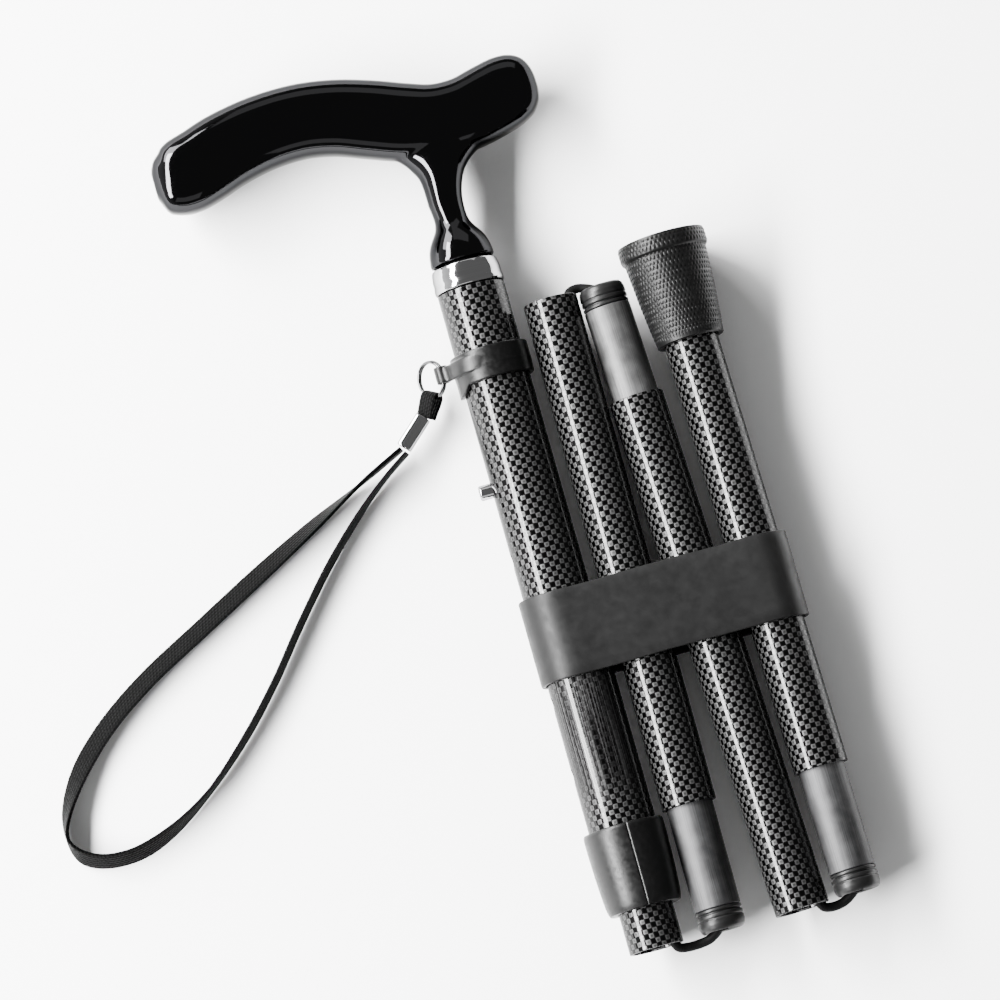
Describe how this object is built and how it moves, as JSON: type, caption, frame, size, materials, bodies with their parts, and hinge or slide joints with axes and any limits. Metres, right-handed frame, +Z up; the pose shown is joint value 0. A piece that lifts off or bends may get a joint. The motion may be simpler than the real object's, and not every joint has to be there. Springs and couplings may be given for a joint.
{
  "type": "folding walking cane",
  "caption": "Folding adjustable walking cane, shown folded: derby handle, woven-pattern tubes on an elastic cord, locking collar, rubber ferrule, holding band and wrist strap.",
  "frame": {"origin": "middle of the folded cane's footprint, on the surface it lies on, measured without the wrist strap", "axes": "+Z up from that surface, +Y along the tubes towards the handle, +X across the folded tubes from the upper section to the bottom one"},
  "size_m": [0.2657, 0.324, 0.031],
  "materials": {
    "handle_black": "high gloss",
    "chrome": "polished",
    "carbon_tube": "clear-coated woven pattern",
    "coupler_metal": "satin, dark anodised",
    "black_plastic": "satin",
    "ferrule_rubber": "textured",
    "band_rubber": "satin",
    "elastic_cord": "braided",
    "webbing": "woven",
    "steel": "plain"
  },
  "bodies": {
    "upper_section": {"handle": "handle_black", "handle_plug": "black_plastic", "handle_screw": "steel", "handle_ring": "chrome", "upper_outer_tube": "carbon_tube", "strap_clip": "black_plastic", "anti_rattle_bush": "ferrule_rubber"},
    "locking_collar": {"locking_collar": "black_plastic"},
    "wrist_strap": {"split_ring": "chrome", "strap_tab": "webbing", "strap_crimp": "chrome", "wrist_strap": "webbing"},
    "holding_band": {"holding_band": "band_rubber"},
    "inner_section": {"upper_inner_tube": "carbon_tube", "inner_tube_bush": "black_plastic", "button_spring": "steel", "cord_plug_upper": "black_plastic", "cord_knot_upper": "elastic_cord", "cord_upper": "elastic_cord"},
    "snap_button": {"snap_button": "chrome"},
    "cord_link_1": {"cord_bend_1": "elastic_cord"},
    "section_2": {"coupler_cap_2": "black_plastic", "coupler_2": "coupler_metal", "tube_2": "carbon_tube", "cord_2": "elastic_cord"},
    "cord_link_2": {"cord_bend_2": "elastic_cord"},
    "section_3": {"coupler_cap_3": "black_plastic", "coupler_3": "coupler_metal", "tube_3": "carbon_tube", "cord_3": "elastic_cord"},
    "cord_link_3": {"cord_bend_3": "elastic_cord"},
    "section_4": {"coupler_cap_4": "black_plastic", "coupler_4": "coupler_metal", "tube_4": "carbon_tube", "cord_4": "elastic_cord", "cord_plug_tip": "black_plastic", "cord_knot_tip": "elastic_cord", "ferrule_washer": "steel", "rubber_ferrule": "ferrule_rubber"}
  },
  "joints": [
    {"name": "height_slide", "type": "slide", "parent": "upper_section", "child": "inner_section", "axis": [0, -1, 0], "range_m": [0, 0.1016], "deforming": ["snap_button", "button_spring"]},
    {"name": "button_press", "type": "slide", "parent": "inner_section", "child": "snap_button", "axis": [1, 0, 0], "range_m": [0, 0.0043], "stiffness_N_per_m": 600, "deforming": ["button_spring", "snap_button"]},
    {"name": "collar_twist", "type": "hinge", "parent": "upper_section", "child": "locking_collar", "pos_m": [0.00567, -0.12702, 0.0155], "axis": [0, 1, 0], "range_deg": [0, 120]},
    {"name": "band_slide", "type": "slide", "parent": "upper_section", "child": "holding_band", "axis": [0, -1, 0], "range_m": [0, 0.034], "deforming": ["holding_band"]},
    {"name": "ring_swing", "type": "hinge", "parent": "upper_section", "child": "wrist_strap", "pos_m": [-0.01163, 0.05198, 0.0155], "axis": [0, 1, 0], "range_deg": [0, 100]},
    {"name": "seat_1", "type": "slide", "parent": "inner_section", "child": "cord_link_1", "axis": [0, 1, 0], "range_m": [0, 0.0444], "deforming": ["cord_bend_1", "cord_upper"]},
    {"name": "fold_1", "type": "hinge", "parent": "cord_link_1", "child": "section_2", "pos_m": [0.01742, -0.15702, 0.0155], "axis": [0, 0, -1], "range_deg": [0, 179.6], "deforming": ["cord_bend_1", "holding_band"]},
    {"name": "seat_2", "type": "slide", "parent": "section_2", "child": "cord_link_2", "axis": [-0.007, -1, 0], "range_m": [0, 0.0409], "deforming": ["cord_bend_2", "cord_2"]},
    {"name": "fold_2", "type": "hinge", "parent": "cord_link_2", "child": "section_3", "pos_m": [0.03963, 0.06723, 0.0155], "axis": [0, 0, 1], "range_deg": [0, 177.5], "deforming": ["cord_bend_2"]},
    {"name": "seat_3", "type": "slide", "parent": "section_3", "child": "cord_link_3", "axis": [-0.0366, 0.9993, 0], "range_m": [0, 0.0444], "deforming": ["cord_bend_3", "cord_3"]},
    {"name": "fold_3", "type": "hinge", "parent": "cord_link_3", "child": "section_4", "pos_m": [0.06677, -0.15703, 0.0155], "axis": [0, 0, -1], "range_deg": [0, 178.85], "deforming": ["cord_bend_3"]}
  ],
  "couplings": [
    {"joint": "fold_2", "follows": "fold_1", "ratio": 0.9883},
    {"joint": "fold_3", "follows": "fold_1", "ratio": 0.9958},
    {"joint": "seat_2", "follows": "seat_1", "ratio": 0.9211},
    {"joint": "seat_3", "follows": "seat_1", "ratio": 1},
    {"joint": "band_slide", "follows": "height_slide", "ratio": 0.333}
  ]
}
